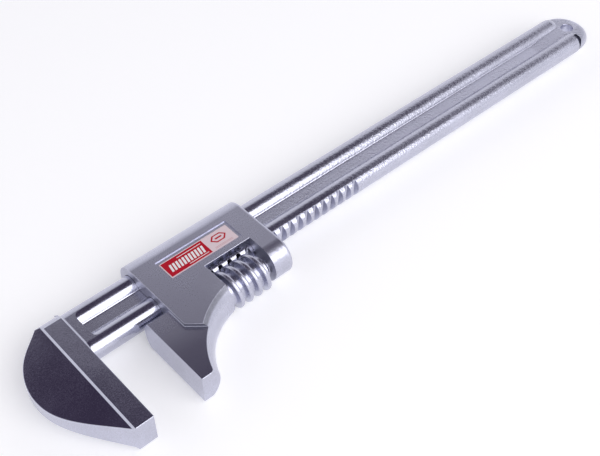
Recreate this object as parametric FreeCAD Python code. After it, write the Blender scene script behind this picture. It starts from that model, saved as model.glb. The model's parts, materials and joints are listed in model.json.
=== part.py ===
import FreeCAD, Part

import math
import os

from FreeCAD import Vector

# Smooth-jaw adjustable wrench, 18 in class. Millimetres.
#
# The sub-parts are drawn about the bar's centreline: X along the handle, away from the fixed jaw; Y across
# it, with the jaws on the -Y side; Z through the thickness, 0 at the mid-plane. save() then lifts them by
# BAR_Y, so that the finished part's origin is the middle of the fixed jaw's working face.

BAR_Y = 45.0

# The bar: two round beads joined by a flat web
BEAD_R = 7.0
BEAD_Y = 10.6
BAR_HALF_WIDTH = BEAD_Y + BEAD_R
WEB_HALF = 2.75
GROOVE_START = 6.5
GROOVE_CORNER_R = 4.0
WEB_FILLET = 1.0
FLARE_R = 1.5
FLARE_SIDE = 0.2
HANDLE_TIP = 419.1
TAIL_HALF = 4.2
TAIL_RAMP = (372.0, 401.8)
TAIL_X = HANDLE_TIP - BAR_HALF_WIDTH
HANG_HOLE_X = 406.8
HANG_HOLE_R = 4.3
HANG_HOLE_EDGE = 0.5

# The fixed jaw
FIXED_STRIP = 11.0
FIXED_BEVEL = 1.0
FIXED_HALF = 9.2
FIXED_TIP = -72.5
FIXED_BACK = 17.9
FIXED_FLAT_BACK = 10.4
CHEEK_HALF = 8.1
CHEEK_NOSE_HALF = 3.6
CHEEK_OUTLINE = ((-17.5, 12.0), (-28.0, 3.6), (-36.3, -11.5), (-36.6, -31.5), (-27.4, -50.4))
NOSE_X = -37.6
EDGE_BREAK = 0.4
WINDOW_EDGE = 0.4

# The rack and the worm that climbs it: a right-hand single-start thread, 1/4 in pitch
PITCH = 6.35
THREAD_TAN = math.tan(math.radians(14.5))
WORM_AXIS_Y = -26.9
WORM_R = 12.3
WORM_ROOT_R = 8.9
WORM_CREST_R = 11.9
CREST_HALF = 1.2
WORM_X = (78.0, 104.6)
WORM_CHAMFER = 1.2
RACK_LAST = 187.65
RACK_TEETH = 23
RACK_ROOT_Y = -13.9
RACK_ROOT_SIDE_Y = -14.3
RACK_ROOT_HALF = 1.33
RACK_PITCH_R = 11.0

# The sliding jaw and its housing
JAW_X = 30.4
JAW_TIP = -71.2
JAW_HALF = 9.6
JAW_SHOULDER_Y = -20.4
JAW_BULGE_R = 14.0
JAW_CORNER_R = 2.5
BACK_ARC = (89.1, -86.5)
BACK_ARC_R = 49.5
HOUSE_FRONT = 44.4
HOUSE_REAR = 122.1
HOUSE_HALF = 12.0
HOUSE_STEP = (-38.3, 53.7, -46.5)
BOSS_Y = -23.9
HOUSE_EDGE_R = 2.0
SLIDE_GAP = 0.3

# The worm's window and its pin
WINDOW_X = (77.4, 109.1)
WINDOW_TOP = -13.3
PIN_R = 3.5
PIN_RUN = 0.05
PIN_X = (67.5, 117.2)
PIN_HEAD_R = 5.0
PIN_HEAD = 3.6
PIN_HEAD_GAP = 0.2
PIN_SLOT = (1.2, 1.3)
SPRING_R = 4.9
SPRING_WIRE_R = 0.5
SPRING_PITCH = 1.9
SPRING_SEAT = (100.2, 6.2)

# The label and its recess
LABEL_RECESS = (58.0, 107.0, -9.2, 6.5)
RECESS_DEPTH = 0.6
LABEL = (58.9, 105.2, -8.4, 4.2)
LABEL_THICK = 0.3

X_AXIS = Vector(1, 0, 0)
Y_AXIS = Vector(0, 1, 0)
Z_AXIS = Vector(0, 0, 1)


def box(x0, x1, y0, y1, z0, z1):
    return Part.makeBox(x1 - x0, y1 - y0, z1 - z0, Vector(x0, y0, z0))


def rod(radius, x0, x1, y=0.0, z=0.0):
    """A cylinder along X."""
    return Part.makeCylinder(radius, x1 - x0, Vector(x0, y, z), X_AXIS)


def polygon(points):
    return Part.Face(Part.makePolygon([Vector(*p) for p in points + points[:1]]))


def arc(start, middle, end):
    return Part.Arc(Vector(*start), Vector(*middle), Vector(*end)).toShape()


def line(start, end):
    return Part.LineSegment(Vector(*start), Vector(*end)).toShape()


def slab(x0, x1, y_low, y_high, half, low_round, high_round):
    """A plate along X, with either long edge fully rounded."""
    flat_low = y_low + (half if low_round else 0)
    flat_high = y_high - (half if high_round else 0)
    body = box(x0, x1, flat_low, flat_high, -half, half)
    if low_round:
        body = body.fuse(rod(half, x0, x1, flat_low))
    if high_round:
        body = body.fuse(rod(half, x0, x1, flat_high))
    return body.removeSplitter()


def near(a, b):
    return abs(a - b) < 0.05


def soften(shape, radius, chosen):
    """Round every edge whose bounding box the test picks."""
    solid = shape.removeSplitter().Solids[0]
    return solid.makeFillet(radius, [edge for edge in solid.Edges if chosen(edge.BoundBox)])


def level(b):
    """Does the edge lie at one height?"""
    return near(b.ZMin, b.ZMax)


# ---- handle_bar: fixed jaw, I-section bar, rack and hang hole, in one forging ----


def i_section(x0, x1, grow):
    """The bar's I-section, beads and web joined by fillets, with each face moved out by grow."""
    bead, web, fillet = BEAD_R + grow, WEB_HALF + grow, WEB_FILLET - grow
    centre_z = web + fillet
    reach = math.sqrt((bead + fillet) ** 2 - centre_z ** 2)
    share = bead / (bead + fillet)
    on_web = (BEAD_Y - reach, web)
    on_bead = (BEAD_Y - reach * share, centre_z * share)
    half_angle = math.atan2(reach, centre_z) / 2
    between = (on_web[0] + fillet * math.sin(half_angle), centre_z - fillet * math.cos(half_angle))
    edges = []
    for side in (-1, 1):
        for up in (-1, 1):
            points = [(x0, side * y, up * z) for y, z in (on_web, between, on_bead)]
            edges.append(arc(*points))
        y, z = side * on_bead[0], on_bead[1]
        edges.append(arc((x0, y, z), (x0, side * (BEAD_Y + bead), 0), (x0, y, -z)))
    for up in (-1, 1):
        edges.append(line((x0, -on_web[0], up * web), (x0, on_web[0], up * web)))
    outline = Part.Wire(Part.__sortEdges__(edges))
    return Part.Face(outline).extrude(Vector(x1 - x0, 0, 0))


def bar():
    """The solid bar behind the jaw, then the I-section with its beads ending in half balls."""
    root_end = GROOVE_START + GROOVE_CORNER_R
    root = slab(-FIXED_STRIP / 2, root_end, -BAR_HALF_WIDTH, BAR_HALF_WIDTH, BEAD_R, True, True)
    root = root.fuse(flare())
    groove_end = groove_end_cutter()
    root = root.cut([groove_end, groove_end.mirror(Vector(), Z_AXIS)])
    bead_end = TAIL_X - 1.8
    body = root.fuse(i_section(root_end, bead_end, 0.0))
    balls = [Part.makeSphere(BEAD_R, Vector(bead_end, side * BEAD_Y, 0)) for side in (-1, 1)]
    return body.fuse(balls + [tail(bead_end)])


def flare():
    """The fillet where the bar meets the head: a round one on each bead, then a straight one each way."""
    reach = FLARE_R * (1 - math.sqrt(0.5))
    inside, inside_top, top = (-1, 0, 0), (-1, 0, BEAD_R + FLARE_R), (0, 0, BEAD_R + FLARE_R)
    end, foot = (FLARE_R, 0, BEAD_R), (FLARE_R, 0, 0)
    edges = [line(inside, inside_top), line(inside_top, top), arc(top, (reach, 0, BEAD_R + reach), end),
             line(end, foot), line(foot, inside)]
    profile = Part.Face(Part.Wire(edges))
    round_part = profile.revolve(Vector(), X_AXIS, 360)
    side = BAR_HALF_WIDTH + FLARE_SIDE
    limit = box(-2, FLARE_R + 1, -side, side, -FIXED_HALF, FIXED_HALF)
    rounds = [round_part.translated(Vector(0, y, 0)).common(limit) for y in (-BEAD_Y, BEAD_Y)]
    straight = profile.extrude(Vector(0, 2 * BEAD_Y, 0)).translated(Vector(0, -BEAD_Y, 0))
    return rounds + [straight, straight.mirror(Vector(), Z_AXIS)]


def groove_end_cutter():
    """The groove's end in the root: its sides are the beads, and each corner of its end is rounded."""
    x0, x1 = GROOVE_START, GROOVE_START + GROOVE_CORNER_R
    space = box(x0, x1, -BEAD_Y, BEAD_Y, 0, BEAD_R + 1).cut(i_section(x0, x1, 0.0))
    corner = []
    for side in (-1, 1):
        inner, outer = side * (BEAD_Y - GROOVE_CORNER_R), side * BEAD_Y
        block = box(x0, x1, min(inner, outer), max(inner, outer), 0, BEAD_R + 1)
        centre = Vector(x1, inner, 0)
        corner.append(block.cut(Part.makeCylinder(GROOVE_CORNER_R, BEAD_R + 1, centre, Z_AXIS)))
    return space.cut(corner)


def tail(bead_end):
    """The round, thinner end of the handle, which the web ramps up to."""
    low, high = TAIL_RAMP
    start = low - 1
    profile = []
    for side in (1, -1):
        run = [(start, WEB_HALF), (low, WEB_HALF), (high, TAIL_HALF), (HANDLE_TIP + 1, TAIL_HALF)]
        run = [(x, 0, side * z) for x, z in run]
        profile += run if side > 0 else run[::-1]
    width = 2 * BAR_HALF_WIDTH + 2
    wedge = polygon(profile).extrude(Vector(0, width, 0))
    wedge.translate(Vector(0, -width / 2, 0))
    inner = BAR_HALF_WIDTH - TAIL_HALF
    disc = Part.makeCylinder(inner, 2 * TAIL_HALF, Vector(TAIL_X, 0, -TAIL_HALF), Z_AXIS)
    rim = Part.makeTorus(inner, TAIL_HALF, Vector(TAIL_X, 0, 0), Z_AXIS)
    strip = box(start, TAIL_X, -inner, inner, -TAIL_HALF, TAIL_HALF)
    return disc.fuse([rim, strip]).common(wedge)


def fixed_jaw():
    """The working strip at full thickness, a bevel, and the cheek that thins towards the nose."""
    bevel_x = -FIXED_STRIP - FIXED_BEVEL
    half_profile = [(0, FIXED_HALF), (-FIXED_STRIP, FIXED_HALF), (bevel_x, CHEEK_HALF),
                    (NOSE_X - 1, CHEEK_NOSE_HALF)]
    profile = [(x, 0, z) for x, z in half_profile] + [(x, 0, -z) for x, z in half_profile[::-1]]
    depth = FIXED_BACK - FIXED_TIP + 2
    cheeks = polygon(profile).extrude(Vector(0, depth, 0))
    cheeks.translate(Vector(0, FIXED_TIP - 1, 0))
    z = -FIXED_HALF
    round_the_cheek = [(-FIXED_STRIP, FIXED_BACK), *CHEEK_OUTLINE, (-FIXED_STRIP, FIXED_TIP)]
    outline = Part.BSplineCurve()
    outline.interpolate([Vector(x, y, z) for x, y in round_the_cheek])
    edges = [outline.toShape(),
             line((-FIXED_STRIP, FIXED_TIP, z), (0, FIXED_TIP, z)),
             line((0, FIXED_TIP, z), (0, FIXED_BACK, z)),
             line((0, FIXED_BACK, z), (-FIXED_STRIP, FIXED_BACK, z))]
    plan = Part.Face(Part.Wire(edges)).extrude(Vector(0, 0, 2 * FIXED_HALF))
    return soften(plan.common(cheeks).common(crowned_back()), EDGE_BREAK, lambda b: True)


def crowned_back():
    """The slab that the fixed jaw lies in, with a crowned back."""
    x, low = NOSE_X - 1, FIXED_TIP - 1
    top, bottom = (x, FIXED_FLAT_BACK, FIXED_HALF), (x, FIXED_FLAT_BACK, -FIXED_HALF)
    low_top, low_bottom = (x, low, FIXED_HALF), (x, low, -FIXED_HALF)
    edges = [arc(top, (x, FIXED_BACK, 0), bottom), line(bottom, low_bottom),
             line(low_bottom, low_top), line(low_top, top)]
    return Part.Face(Part.Wire(edges)).extrude(Vector(-x, 0, 0))


def rack_gap(x):
    """One milled gap of the rack, leaning by the worm's lead angle."""
    mouth_y = -BAR_HALF_WIDTH - 1
    mouth_half = RACK_ROOT_HALF + (RACK_ROOT_SIDE_Y - mouth_y) * THREAD_TAN
    z = -BEAD_R - 1
    left, right = (-RACK_ROOT_HALF, RACK_ROOT_SIDE_Y, z), (RACK_ROOT_HALF, RACK_ROOT_SIDE_Y, z)
    mouth_left, mouth_right = (-mouth_half, mouth_y, z), (mouth_half, mouth_y, z)
    edges = [arc(left, (0, RACK_ROOT_Y, z), right), line(right, mouth_right),
             line(mouth_right, mouth_left), line(mouth_left, left)]
    gap = Part.Face(Part.Wire(edges)).extrude(Vector(0, 0, -2 * z))
    lead_angle = math.degrees(math.atan(PITCH / (2 * math.pi * RACK_PITCH_R)))
    gap.rotate(Vector(), Y_AXIS, lead_angle)
    gap.translate(Vector(x, 0, 0))
    return gap


def handle_bar():
    hole = Part.makeCylinder(HANG_HOLE_R, 4 * BEAD_R, Vector(HANG_HOLE_X, 0, -2 * BEAD_R), Z_AXIS)
    body = bar().fuse(fixed_jaw()).cut(hole)
    body = soften(body, HANG_HOLE_EDGE, lambda b: level(b) and near(b.XMin, HANG_HOLE_X - HANG_HOLE_R)
                  and near(b.XMax, HANG_HOLE_X + HANG_HOLE_R))
    return body.cut([rack_gap(RACK_LAST - i * PITCH) for i in range(RACK_TEETH)]).removeSplitter()


# ---- sliding_jaw: the lower jaw and the housing that wraps the bar and holds the worm ----


def back_drum():
    """The space behind the jaw: a waisted drum about Z that leaves the jaw's back crowned."""
    height = HOUSE_HALF + 1
    spread = JAW_BULGE_R - math.sqrt(JAW_BULGE_R ** 2 - height ** 2)
    low, high = (BACK_ARC_R + spread, 0, -height), (BACK_ARC_R + spread, 0, height)
    edges = [line((0, 0, -height), low), arc(low, (BACK_ARC_R, 0, 0), high),
             line(high, (0, 0, height)), line((0, 0, height), (0, 0, -height))]
    drum = Part.Face(Part.Wire(edges)).revolve(Vector(), Z_AXIS, 360)
    drum.translate(Vector(*BACK_ARC, 0))
    return drum


def lower_jaw():
    """The jaw plate, crowned along its edge under the bar."""
    shoulder = JAW_BULGE_R - math.sqrt(JAW_BULGE_R ** 2 - JAW_HALF ** 2)
    x = JAW_X
    high, low = (x, JAW_SHOULDER_Y - shoulder, JAW_HALF), (x, JAW_SHOULDER_Y - shoulder, -JAW_HALF)
    tip_high, tip_low = (x, JAW_TIP, JAW_HALF), (x, JAW_TIP, -JAW_HALF)
    edges = [arc(high, (x, JAW_SHOULDER_Y, 0), low), line(low, tip_low),
             line(tip_low, tip_high), line(tip_high, high)]
    return Part.Face(Part.Wire(edges)).extrude(Vector(WINDOW_X[0] - JAW_X, 0, 0))


def housing():
    """The sleeve round the bar, with the rear boss and the shoulder that steps down to the jaw plate."""
    back = BEAD_Y + HOUSE_HALF
    front = slab(HOUSE_FRONT, WINDOW_X[0], HOUSE_STEP[2] - 10, back, HOUSE_HALF, False, True)
    step_y, toe_x, toe_y = HOUSE_STEP
    slope = (step_y - toe_y) / (toe_x - HOUSE_FRONT)
    low = toe_y - 12
    beyond_x = HOUSE_FRONT + (step_y - low) / slope
    z = -HOUSE_HALF - 1
    cut_off = polygon([(HOUSE_FRONT - 1, step_y + slope, z), (beyond_x, low, z), (HOUSE_FRONT - 1, low, z)])
    front = front.cut(cut_off.extrude(Vector(0, 0, -2 * z)))
    rear = slab(WINDOW_X[0], HOUSE_REAR, BOSS_Y - HOUSE_HALF, back, HOUSE_HALF, True, True)
    return front.fuse(rear).removeSplitter()


def pin_bores():
    bore = PIN_R + PIN_RUN
    blind = rod(bore, PIN_X[0] - 0.5, WINDOW_X[0] + 1, WORM_AXIS_Y)
    through = rod(bore, WINDOW_X[1] - 1, HOUSE_REAR + 1, WORM_AXIS_Y)
    head = rod(PIN_HEAD_R + PIN_HEAD_GAP, PIN_X[1] - 0.02, HOUSE_REAR + 1, WORM_AXIS_Y)
    return [blind, through, head]


def on_jaw_rim(b):
    """Edges round the jaw's working face and its tip, and up the foot of its back."""
    foot = level(b) and near(abs(b.ZMin), JAW_HALF) and b.YMax < HOUSE_STEP[2]
    return near(b.XMax, JAW_X) or foot


def on_housing_rim(b):
    """Edges round the housing's front, down its step, and along the arc behind it."""
    step_y = HOUSE_STEP[0]
    front = near(b.XMin, HOUSE_FRONT) and near(b.XMax, HOUSE_FRONT)
    down_front = front and (level(b) or near(b.YMin, step_y) or near(b.YMax, BEAD_Y + HOUSE_HALF))
    down_step = level(b) and near(b.XMin, HOUSE_FRONT) and near(b.YMax, step_y)
    along_arc = (level(b) and near(abs(b.ZMin), HOUSE_HALF) and near(b.XMax, WINDOW_X[0])
                 and b.YMin < BOSS_Y - 15)
    return down_front or down_step or along_arc


def blank_jaw():
    """The jaw and housing as forged, with rounded edges, before anything is machined."""
    body = lower_jaw().fuse(housing()).cut(back_drum())
    body = soften(body, JAW_CORNER_R,
                  lambda b: b.YMax < JAW_TIP + 0.1 and b.XMin > JAW_X + 5 and not level(b))
    body = soften(body, HOUSE_EDGE_R, lambda b: near(b.XMin, HOUSE_REAR))
    return soften(body, EDGE_BREAK, lambda b: on_jaw_rim(b) or on_housing_rim(b))


def sliding_jaw():
    window = box(WINDOW_X[0], WINDOW_X[1], JAW_TIP, WINDOW_TOP, -HOUSE_HALF - 1, HOUSE_HALF + 1)
    body = soften(blank_jaw().cut(window), WINDOW_EDGE, lambda b: level(b) and near(abs(b.ZMin), HOUSE_HALF)
                  and (near(b.YMin, WINDOW_TOP) or near(b.XMin, WINDOW_X[0]) and near(b.XMax, WINDOW_X[0])))
    passage = i_section(JAW_X - 1, HOUSE_REAR + 1, SLIDE_GAP)
    x0, x1, y0, y1 = LABEL_RECESS
    recess = box(x0, x1, y0, y1, HOUSE_HALF - RECESS_DEPTH, HOUSE_HALF + 1)
    return body.cut([passage, recess] + pin_bores()).removeSplitter()


# ---- adjusting_worm, worm_pin and worm_spring ----


def along_x(shape):
    """Turn a shape drawn about Z so that its axis is X and its local +X becomes +Y."""
    turn = FreeCAD.Matrix(0, 0, 1, 0, 1, 0, 0, 0, 0, 1, 0, 0, 0, 0, 0, 1)
    return shape.transformed(turn)


def thread():
    """The worm's thread ridge about the X axis, one pitch longer than the worm at each end."""
    start = RACK_LAST - PITCH * math.ceil((RACK_LAST - WORM_X[0]) / PITCH + 1)
    length = WORM_X[1] + PITCH - start
    helix = Part.makeHelix(PITCH, length, WORM_CREST_R)
    root_r = WORM_ROOT_R - 0.6
    root_half = CREST_HALF + (WORM_CREST_R - root_r) * THREAD_TAN
    low, high = (root_r, 0, -root_half), (root_r, 0, root_half)
    crest_low, crest_high = (WORM_CREST_R, 0, -CREST_HALF), (WORM_CREST_R, 0, CREST_HALF)
    edges = [line(low, crest_low), arc(crest_low, (WORM_R, 0, 0), crest_high),
             line(crest_high, high), line(high, low)]
    ridge = Part.Wire(helix.Edges).makePipeShell([Part.Wire(edges)], True, True)
    ridge = along_x(ridge)
    ridge.translate(Vector(start, WORM_AXIS_Y, 0))
    return ridge


def adjusting_worm():
    x0, x1 = WORM_X
    body = rod(WORM_ROOT_R, x0 - 3 * PITCH, x1 + 3 * PITCH, WORM_AXIS_Y).fuse(thread())
    r, c = WORM_R + 0.2, WORM_CHAMFER
    half_outline = [(x0, 0), (x0, r - 2 * c), (x0 + c, r), (x1 - c, r), (x1, r - 2 * c), (x1, 0)]
    envelope = polygon([(x, y + WORM_AXIS_Y, 0) for x, y in half_outline])
    envelope = envelope.revolve(Vector(0, WORM_AXIS_Y, 0), X_AXIS, 360)
    bore = rod(PIN_R + PIN_RUN, x0 - 1, x1 + 1, WORM_AXIS_Y)
    seat_x, seat_r = SPRING_SEAT
    seat = rod(seat_r, seat_x, x1 + 1, WORM_AXIS_Y)
    return body.common(envelope).cut([bore, seat])


def worm_pin():
    x0, x1 = PIN_X
    width, depth = PIN_SLOT
    end = x1 + PIN_HEAD
    body = rod(PIN_R, x0, x1, WORM_AXIS_Y).fuse(rod(PIN_HEAD_R, x1, end, WORM_AXIS_Y))
    y = WORM_AXIS_Y
    slot = box(end - depth, end + 1, y - width / 2, y + width / 2, -PIN_HEAD_R - 1, PIN_HEAD_R + 1)
    return body.cut(slot)


def worm_spring():
    """The open coil spring in the worm's rear seat, pressing on the boss."""
    start = SPRING_SEAT[0] + SPRING_WIRE_R + 0.15
    length = WINDOW_X[1] - SPRING_WIRE_R - 0.05 - start
    helix = Part.makeHelix(SPRING_PITCH, length, SPRING_R)
    circle = Part.Circle(Vector(SPRING_R, 0, 0), Y_AXIS, SPRING_WIRE_R).toShape()
    coil = Part.Wire(helix.Edges).makePipeShell([Part.Wire([circle])], True, True)
    coil = along_x(coil)
    coil.translate(Vector(start, WORM_AXIS_Y, 0))
    return coil


def label_plate():
    x0, x1, y0, y1 = LABEL
    floor = HOUSE_HALF - RECESS_DEPTH
    plate = box(x0, x1, y0, y1, floor, floor + LABEL_THICK)
    corners = [e for e in plate.Edges if abs(e.Vertexes[0].Z - e.Vertexes[-1].Z) > LABEL_THICK / 2]
    return plate.makeFillet(0.5, corners)


def save(name, shape):
    shape.translate(Vector(0, BAR_Y, 0))
    shape.exportStep("parts/" + name + ".step")
    b = shape.BoundBox
    print(name, len(shape.Solids), "solid, valid:", shape.isValid(), "volume:", round(shape.Volume),
          "box:", [round(v, 1) for v in (b.XMin, b.XMax, b.YMin, b.YMax, b.ZMin, b.ZMax)])


os.makedirs("parts", exist_ok=True)
for make in (handle_bar, sliding_jaw, adjusting_worm, worm_pin, worm_spring, label_plate):
    save(make.__name__, make())
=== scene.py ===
import json
import math

import bmesh
import bpy
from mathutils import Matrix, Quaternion, Vector


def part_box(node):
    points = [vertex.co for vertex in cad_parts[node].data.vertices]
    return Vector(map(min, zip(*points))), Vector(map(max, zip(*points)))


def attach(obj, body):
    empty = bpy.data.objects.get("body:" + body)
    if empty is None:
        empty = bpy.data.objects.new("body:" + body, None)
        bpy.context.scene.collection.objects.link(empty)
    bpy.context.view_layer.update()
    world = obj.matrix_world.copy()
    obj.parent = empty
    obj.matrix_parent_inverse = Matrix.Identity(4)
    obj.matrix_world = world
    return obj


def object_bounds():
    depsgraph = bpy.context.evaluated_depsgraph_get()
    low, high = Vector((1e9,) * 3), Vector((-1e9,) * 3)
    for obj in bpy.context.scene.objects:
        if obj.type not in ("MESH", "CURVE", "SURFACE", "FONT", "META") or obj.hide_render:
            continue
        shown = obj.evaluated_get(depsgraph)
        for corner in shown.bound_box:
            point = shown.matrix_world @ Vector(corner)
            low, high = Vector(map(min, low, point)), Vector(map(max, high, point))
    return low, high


# Looks for the smooth-jaw adjustable wrench. Metres, in the part's own frame: X along the handle away from
# the fixed jaw, jaws towards -Y, Z up through the thickness.

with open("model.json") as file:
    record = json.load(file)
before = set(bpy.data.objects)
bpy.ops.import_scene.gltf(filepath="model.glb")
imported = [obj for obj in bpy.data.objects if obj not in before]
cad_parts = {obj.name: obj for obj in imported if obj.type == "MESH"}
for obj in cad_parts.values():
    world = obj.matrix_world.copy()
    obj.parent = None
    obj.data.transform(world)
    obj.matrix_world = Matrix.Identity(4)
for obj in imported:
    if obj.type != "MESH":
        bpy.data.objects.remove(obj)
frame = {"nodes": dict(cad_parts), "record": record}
cad_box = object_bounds()

MM = 0.001

# Camera
CAMERA_AT = Vector((-0.13719, -0.30061, 0.44217))
LOOK_AT = Vector((0.14245, 0.02712, 0.0))
CAMERA_ROLL = math.radians(-1.324)
LENS_MM = 63.88

# Studio
FLOOR_RADIUS = 4.0
FLOOR_COLOUR = (0.9, 0.9, 0.905)
FLOOR_GLOW = 0.30
WALL_COLOUR = (0.93, 0.93, 0.98)
CEILING_COLOUR = (0.060, 0.047, 0.082)
SOFTBOX_TOWARDS = Vector((0.15, -0.7, 0.7)).normalized()
SOFTBOX_DISTANCE = 2.2
SOFTBOX_RADIUS = 1.15
SOFTBOX_WATTS = 29.0
# Height up the world's gradient, and how much of the wall's colour is left there
WALL_SHARES = ((0.0, 1.0), (0.5, 0.92), (0.6, 0.78), (0.68, 0.56), (0.735, 0.30), (0.775, 0.05), (0.81, 0.0))

# Metal and label colours
STEEL = (0.56, 0.565, 0.665)
LABEL_FILM = (0.80, 0.66, 0.69)
LABEL_RED = (0.50, 0.002, 0.018)
LABEL_WHITE = (0.90, 0.90, 0.90)
LABEL_PINK = (0.62, 0.35, 0.38)
LABEL_BORDER = 0.6 * MM
RED_SHARE = 0.60  # of the label's length
INK = 0.04 * MM

# Print in the red field: a row of leaning bars, between two thin rules
BAR_COUNT = 11
BAR_FIRST = 2.2 * MM
BAR_PITCH = 2.15 * MM
BAR_WIDTH = 1.35 * MM
BAR_FOOT = 2.6 * MM
BAR_HEIGHT = 5.4 * MM
BAR_LEAN = 1.0 * MM
RULE = 0.4 * MM
RULE_END = 1.5 * MM
TOP_RULE_START = 10 * MM
TOP_RULE_DROP = 1.5 * MM
LOW_RULE_START = 13 * MM
LOW_RULE_RISE = 1.2 * MM

# Print in the pale field: a hexagon ring round a short bar, over two fine rules
HEXAGON_R = 5.4 * MM
HEXAGON_SQUASH = 0.62
HOLLOW_R = 4.2 * MM
HOLLOW_SQUASH = 0.58
HEXAGON_RISE = 0.58  # of the label's height, to the hexagon's centre
CORE_HALF_LENGTH = 2.2 * MM
CORE_HALF_WIDTH = 0.5 * MM
FINE_RULE_HALF_LENGTH = 6 * MM
FINE_RULE = 0.25 * MM
FINE_RULE_RISES = (0.5 * MM, 1.3 * MM)

# Places on the frame
MOUNTS = {mount["name"]: mount for mount in frame["record"]["mounts"]}
BAR_CENTRE_Y = MOUNTS["hang_hole"]["pos_m"][1]
HANDLE_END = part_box("handle_bar")[1].x
STRIP_EDGE = -11 * MM  # where the strip behind the fixed jaw's face meets its cheeks
WORM_LOW, WORM_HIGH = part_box("adjusting_worm")
WORM_START = WORM_LOW.x
HOUSING_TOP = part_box("sliding_jaw")[1].z
PLATE_STEP = 2.4 * MM  # how far the jaw's plate lies below the housing's side
JAW_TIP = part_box("sliding_jaw")[0].y
SATIN_FROM = 45 * MM  # this far up from the jaw's tip, its polish has turned satin
LABEL_LOW, LABEL_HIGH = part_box("label_plate")


# ---- materials ----


class Shader:
    """A material with a Principled shader, and short calls for wiring nodes to it."""

    def __init__(self, name, colour, roughness, metallic):
        self.material = bpy.data.materials.new(name)
        self.material.use_nodes = True
        self.tree = self.material.node_tree
        self.bsdf = self.tree.nodes["Principled BSDF"]
        self.bsdf.inputs["Base Color"].default_value = (*colour, 1)
        self.bsdf.inputs["Roughness"].default_value = roughness
        self.bsdf.inputs["Metallic"].default_value = metallic
        self.place = self.node("TexCoord").outputs["Object"]
        self.relief = None

    def node(self, kind, **settings):
        made = self.tree.nodes.new("ShaderNode" + kind)
        for name, value in settings.items():
            setattr(made, name, value)
        return made

    def link(self, source, target):
        """Join an output to an input, or set the input where the source is a plain value."""
        if isinstance(source, bpy.types.NodeSocket):
            self.tree.links.new(source, target)
        else:
            target.default_value = source

    def maths(self, operation, a, b=0.0):
        made = self.node("Math", operation=operation)
        self.link(a, made.inputs[0])
        self.link(b, made.inputs[1])
        return made.outputs[0]

    def product(self, first, *others):
        for other in others:
            first = self.maths("MULTIPLY", first, other)
        return first

    def plus(self, base, *shares):
        """The base value and a share of each mask, added up."""
        for mask, share in shares:
            base = self.maths("ADD", base, self.maths("MULTIPLY", mask, share))
        return base

    def noise(self, size, detail=2.0, stretch=(1, 1, 1)):
        """Noise with features of that size in metres, stretched along the axes."""
        scaled = self.node("VectorMath", operation="DIVIDE")
        self.link(self.place, scaled.inputs[0])
        scaled.inputs[1].default_value = stretch
        made = self.node("TexNoise")
        made.inputs["Scale"].default_value = 1 / size
        made.inputs["Detail"].default_value = detail
        self.link(scaled.outputs[0], made.inputs["Vector"])
        return made.outputs["Fac"]

    def ramp(self, value, low, high, out_low=0.0, out_high=1.0):
        """Map a value's range smoothly to another range."""
        made = self.node("MapRange", interpolation_type="SMOOTHSTEP")
        for name, x in (("Value", value), ("From Min", low), ("From Max", high),
                        ("To Min", out_low), ("To Max", out_high)):
            self.link(x, made.inputs[name])
        return made.outputs["Result"]

    def bump(self, height, depth, strength=1.0):
        """Add relief of that depth in metres on top of the relief so far."""
        made = self.node("Bump")
        made.inputs["Distance"].default_value = depth
        self.link(strength, made.inputs["Strength"])
        self.link(height, made.inputs["Height"])
        if self.relief:
            self.link(self.relief, made.inputs["Normal"])
        self.relief = made.outputs["Normal"]
        self.link(self.relief, self.bsdf.inputs["Normal"])

    def axis(self, index):
        split = self.node("SeparateXYZ")
        self.link(self.place, split.inputs[0])
        return split.outputs[index]

    def facing(self, index):
        """How squarely the surface faces along an axis, either way, from 0 to 1."""
        split = self.node("SeparateXYZ")
        self.link(self.node("TexCoord").outputs["Normal"], split.inputs[0])
        return self.maths("ABSOLUTE", split.outputs[index])

    def tint(self, value, low, high):
        """Mix two colours by a value into the base colour. Sockets 6, 7 and 2 are the node's colours."""
        mix = self.node("Mix", data_type="RGBA")
        self.link(value, mix.inputs["Factor"])
        mix.inputs[6].default_value = (*low, 1)
        mix.inputs[7].default_value = (*high, 1)
        self.link(mix.outputs[2], self.bsdf.inputs["Base Color"])


def shade(colour, factor):
    return tuple(c * factor for c in colour)


def plated_steel(name, roughness, grain_size, grain_depth):
    """Zinc-plated forging with fine grain. Returns it with its mottled tone, and how dull its patches are."""
    s = Shader(name, STEEL, roughness, 1.0)
    patches = s.noise(22 * MM, 3)
    grain = s.noise(grain_size, 3)
    s.bump(grain, grain_depth)
    tone = s.ramp(s.plus(0.0, (patches, 0.4), (grain, 0.6)), 0.35, 0.65)
    wear = s.ramp(tone, 0, 1, -0.03, 0.04)
    return s, tone, wear


def mill_marks(s):
    """Cut fine marks into the faces square to X, and return where those faces are."""
    faces = s.ramp(s.facing(0), 0.8, 0.95)
    s.bump(s.noise(0.5 * MM, 2, stretch=(1, 1, 9)), 0.012 * MM, faces)
    return faces


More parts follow.
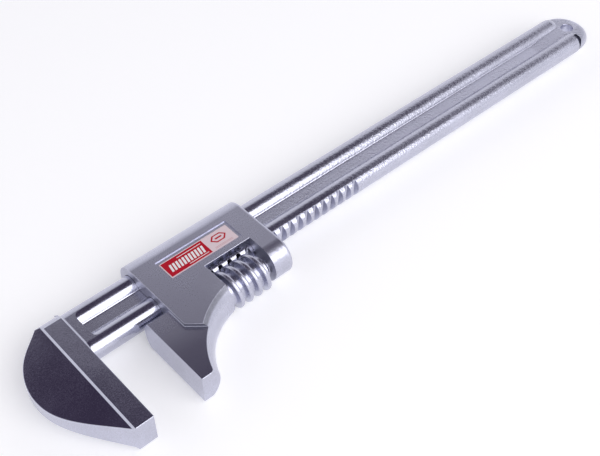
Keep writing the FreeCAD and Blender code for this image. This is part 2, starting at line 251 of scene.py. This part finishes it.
def handle_plating():
    """Smooth on the head, duller on the web, and hammered along the beads towards the hang hole, with a
    painted sheen lightening the web towards the hang hole.
    """
    s, tone, wear = plated_steel("handle_plating", 0.12, 0.7 * MM, 0.005 * MM)
    x = s.axis(0)
    along_bar = s.ramp(x, 0.0, 4 * MM)
    off_centre = s.maths("ABSOLUTE", s.maths("SUBTRACT", s.axis(1), BAR_CENTRE_Y))
    web = s.product(s.ramp(off_centre, 3 * MM, 5 * MM, 1.0, 0.0), along_bar)
    towards_hole = s.ramp(x, 0.1 * HANDLE_END, 0.6 * HANDLE_END)
    # painted sheen: the web's base colour is painted lighter towards the hang hole, for the light its
    # hammered finish catches; the rest is the plating's random mottle
    tone_and_sheen = s.plus(0.0, (tone, 0.4), (s.product(web, towards_hole), 0.6))
    s.tint(tone_and_sheen, shade(STEEL, 0.92), shade(STEEL, 1.30))
    s.bump(s.noise(1.5 * MM, 3), 0.22 * MM, s.ramp(towards_hole, 0, 1, 0.06, 1.0))
    milled = mill_marks(s)
    head = s.ramp(x, STRIP_EDGE - 0.5 * MM, STRIP_EDGE + 0.5 * MM, 0.11, 0.18)
    rough = s.plus(head, (along_bar, 0.03), (web, 0.04), (towards_hole, 0.05), (milled, 0.14), (wear, 1.0))
    s.link(rough, s.bsdf.inputs["Roughness"])
    return s


def housing_plating():
    """Polished on the jaw plate, satin on the housing, matte where milled, pitted beside the worm, with
    painted shade on the rounding above the jaw's back arc.
    """
    s, tone, wear = plated_steel("housing_plating", 0.2, 0.6 * MM, 0.004 * MM)
    x = s.axis(0)
    height = s.maths("ABSOLUTE", s.axis(2))
    on_housing = s.ramp(height, HOUSING_TOP - PLATE_STEP, HOUSING_TOP - 0.6 * PLATE_STEP)
    off_the_flat = s.ramp(height, HOUSING_TOP - 0.5 * MM, HOUSING_TOP, 1.0, 0.0)
    below_bar = s.ramp(s.axis(1), WORM_LOW.y, WORM_HIGH.y, 1.0, 0.0)
    by_worm = s.ramp(x, WORM_START - 16 * MM, WORM_START - 4 * MM)
    before_worm = s.ramp(x, WORM_START - 1 * MM, WORM_START, 1.0, 0.0)
    # the rounding above the jaw's back arc gets painted shade, a darker base colour standing in for the dark
    # reflection there; it is also rough, as forged
    painted_dark_shoulder = s.product(on_housing, off_the_flat, below_bar, before_worm)
    # painted shade: the dark end of this tint, 0.45 of the steel, is laid on that rounding by its mask
    s.tint(s.plus(0.0, (tone, 0.3), (painted_dark_shoulder, 0.7)), shade(STEEL, 1.10), shade(STEEL, 0.45))
    pitted = s.maths("MAXIMUM", s.product(below_bar, by_worm), painted_dark_shoulder)
    s.bump(s.noise(1.6 * MM, 2), 0.14 * MM, s.maths("MAXIMUM", pitted, 0.05))
    milled = mill_marks(s)
    up_the_jaw = s.ramp(s.axis(1), JAW_TIP + 0.35 * SATIN_FROM, JAW_TIP + SATIN_FROM, 0.15, 0.26)
    satin = s.maths("MAXIMUM", up_the_jaw, s.product(on_housing, 0.30))
    s.link(s.plus(satin, (milled, 0.16), (pitted, 0.08), (wear, 1.0)), s.bsdf.inputs["Roughness"])
    return s


def turned_steel(name, roughness):
    """A turned part, with fine tool marks round the X axis."""
    s, tone, wear = plated_steel(name, roughness, 0.8 * MM, 0.006 * MM)
    s.tint(tone, shade(STEEL, 0.92), shade(STEEL, 1.08))
    s.bump(s.noise(0.3 * MM, 1, stretch=(1, 30, 30)), 0.006 * MM)
    s.link(s.maths("ADD", wear, roughness), s.bsdf.inputs["Roughness"])
    return s


def label_film(name, colour):
    s = Shader(name, colour, 0.32, 0.0)
    s.bsdf.inputs["Specular IOR Level"].default_value = 0.25
    s.bump(s.noise(3 * MM, 2), 0.02 * MM)
    s.tint(s.noise(0.5 * MM, 3), shade(colour, 0.94), shade(colour, 1.04))
    return s


def dress(node, shader):
    """Give a CAD node's object one material."""
    slots = frame["nodes"][node].data.materials
    slots.clear()
    slots.append(shader.material)


# ---- label print ----


def flat_piece(name, outlines, z, thickness, shader):
    """Thin printed shapes on the label: each outline is a list of (x, y) in metres."""
    mesh = bmesh.new()
    for outline in outlines:
        face = mesh.faces.new([mesh.verts.new((x, y, z)) for x, y in outline])
        raised = bmesh.ops.extrude_face_region(mesh, geom=[face])["geom"]
        corners = [part for part in raised if isinstance(part, bmesh.types.BMVert)]
        bmesh.ops.translate(mesh, vec=(0, 0, thickness), verts=corners)
    bmesh.ops.recalc_face_normals(mesh, faces=mesh.faces)
    data = bpy.data.meshes.new(name)
    mesh.to_mesh(data)
    mesh.free()
    piece = bpy.data.objects.new(name, data)
    bpy.context.scene.collection.objects.link(piece)
    data.materials.append(shader.material)
    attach(piece, "jaw")


def rectangle(x0, x1, y0, y1):
    return [(x0, y0), (x1, y0), (x1, y1), (x0, y1)]


def leaning_bar(x, y, width, height, lean):
    return [(x, y), (x + width, y), (x + width + lean, y + height), (x + lean, y + height)]


def hexagon(x, y, radius, squash):
    angles = [math.radians(60 * i) for i in range(6)]
    return [(x + radius * math.cos(a), y + squash * radius * math.sin(a)) for a in angles]


def red_field(x0, x1, y0, y1, red):
    """A red field with plain white bars and rules on it."""
    white = label_film("label_white", LABEL_WHITE)
    flat_piece("label_red_field", [rectangle(x0, x1, y0, y1)], LABEL_HIGH.z, INK, red)
    starts = [x0 + BAR_FIRST + BAR_PITCH * i for i in range(BAR_COUNT)]
    bars = [leaning_bar(x, y0 + BAR_FOOT, BAR_WIDTH, BAR_HEIGHT, BAR_LEAN) for x in starts]
    top, low = y1 - TOP_RULE_DROP, y0 + LOW_RULE_RISE
    rules = [rectangle(x0 + TOP_RULE_START, x1 - RULE_END, top - RULE, top),
             rectangle(x0 + LOW_RULE_START, x1 - RULE_END, low, low + RULE)]
    flat_piece("label_white_bars", bars + rules, LABEL_HIGH.z + INK, INK, white)


def emblem(x, y0, red):
    """A plain hexagon ring round a short bar, with fine rules below it."""
    z = LABEL_HIGH.z
    y = LABEL_LOW.y + HEXAGON_RISE * (LABEL_HIGH.y - LABEL_LOW.y)
    flat_piece("label_red_hexagon", [hexagon(x, y, HEXAGON_R, HEXAGON_SQUASH)], z, INK, red)
    pale = label_film("label_pale", LABEL_FILM)
    flat_piece("label_pale_hexagon", [hexagon(x, y, HOLLOW_R, HOLLOW_SQUASH)], z + INK, INK, pale)
    core = rectangle(x - CORE_HALF_LENGTH, x + CORE_HALF_LENGTH, y - CORE_HALF_WIDTH, y + CORE_HALF_WIDTH)
    flat_piece("label_red_bar", [core], z + 2 * INK, INK, red)
    ends = x - FINE_RULE_HALF_LENGTH, x + FINE_RULE_HALF_LENGTH
    rules = [rectangle(*ends, y0 + rise, y0 + rise + FINE_RULE) for rise in FINE_RULE_RISES]
    flat_piece("label_rules", rules, z, INK, label_film("label_pink", LABEL_PINK))


def label_print():
    """A red field at the fixed jaw's end of the label, and a pale one with a plain emblem."""
    red = label_film("label_red", LABEL_RED)
    x0, y0 = LABEL_LOW.x + LABEL_BORDER, LABEL_LOW.y + LABEL_BORDER
    field_end = x0 + RED_SHARE * (LABEL_HIGH.x - LABEL_LOW.x)
    red_field(x0, field_end, y0, LABEL_HIGH.y - LABEL_BORDER, red)
    emblem((field_end + LABEL_HIGH.x) / 2, y0, red)


# ---- studio ----


def floor():
    bpy.ops.mesh.primitive_circle_add(vertices=64, radius=FLOOR_RADIUS, fill_type="NGON")
    disc = bpy.context.object
    disc.name = "floor"
    disc.location.z = cad_box[0].z
    s = Shader("floor", FLOOR_COLOUR, 0.9, 0.0)
    s.bsdf.inputs["Emission Color"].default_value = (1, 1, 1, 1)
    s.bsdf.inputs["Emission Strength"].default_value = FLOOR_GLOW
    disc.data.materials.append(s.material)


def surroundings():
    """Pale walls under a dark ceiling, as the metal reflects them."""
    world = bpy.data.worlds.new("studio")
    world.use_nodes = True
    bpy.context.scene.world = world
    tree = world.node_tree
    place = tree.nodes.new("ShaderNodeTexCoord")
    split = tree.nodes.new("ShaderNodeSeparateXYZ")
    ramp = tree.nodes.new("ShaderNodeValToRGB")
    tree.links.new(place.outputs["Generated"], split.inputs[0])
    tree.links.new(split.outputs["Z"], ramp.inputs["Fac"])
    tree.links.new(ramp.outputs["Color"], tree.nodes["Background"].inputs["Color"])
    stops = ramp.color_ramp.elements
    while len(stops) < len(WALL_SHARES):
        stops.new(1.0)
    for stop, (height, share) in zip(stops, WALL_SHARES):
        stop.position = height
        stop.color = [w * share + c * (1 - share) for w, c in zip(WALL_COLOUR, CEILING_COLOUR)] + [1]


def softbox():
    data = bpy.data.lights.new("softbox", "AREA")
    data.shape = "DISK"
    data.size = 2 * SOFTBOX_RADIUS
    data.energy = SOFTBOX_WATTS
    lamp = bpy.data.objects.new("softbox", data)
    lamp.location = SOFTBOX_TOWARDS * SOFTBOX_DISTANCE
    lamp.rotation_euler = SOFTBOX_TOWARDS.to_track_quat("Z", "Y").to_euler()
    bpy.context.scene.collection.objects.link(lamp)


def camera():
    data = bpy.data.cameras.new("camera")
    data.lens = LENS_MM
    data.clip_start = 0.01
    view = bpy.data.objects.new("camera", data)
    view.location = CAMERA_AT
    view.rotation_mode = "QUATERNION"
    aim = (LOOK_AT - CAMERA_AT).to_track_quat("-Z", "Y")
    view.rotation_quaternion = aim @ Quaternion((0, 0, 1), CAMERA_ROLL)
    bpy.context.scene.collection.objects.link(view)
    bpy.context.scene.camera = view


dress("handle_bar", handle_plating())
dress("sliding_jaw", housing_plating())
dress("adjusting_worm", turned_steel("worm_plating", 0.3))
dress("worm_pin", turned_steel("pin_steel", 0.25))
dress("worm_spring", turned_steel("spring_steel", 0.3))
dress("label_plate", label_film("label_film", LABEL_FILM))
label_print()

floor()
surroundings()
softbox()
camera()
bpy.context.scene.view_settings.view_transform = "Standard"
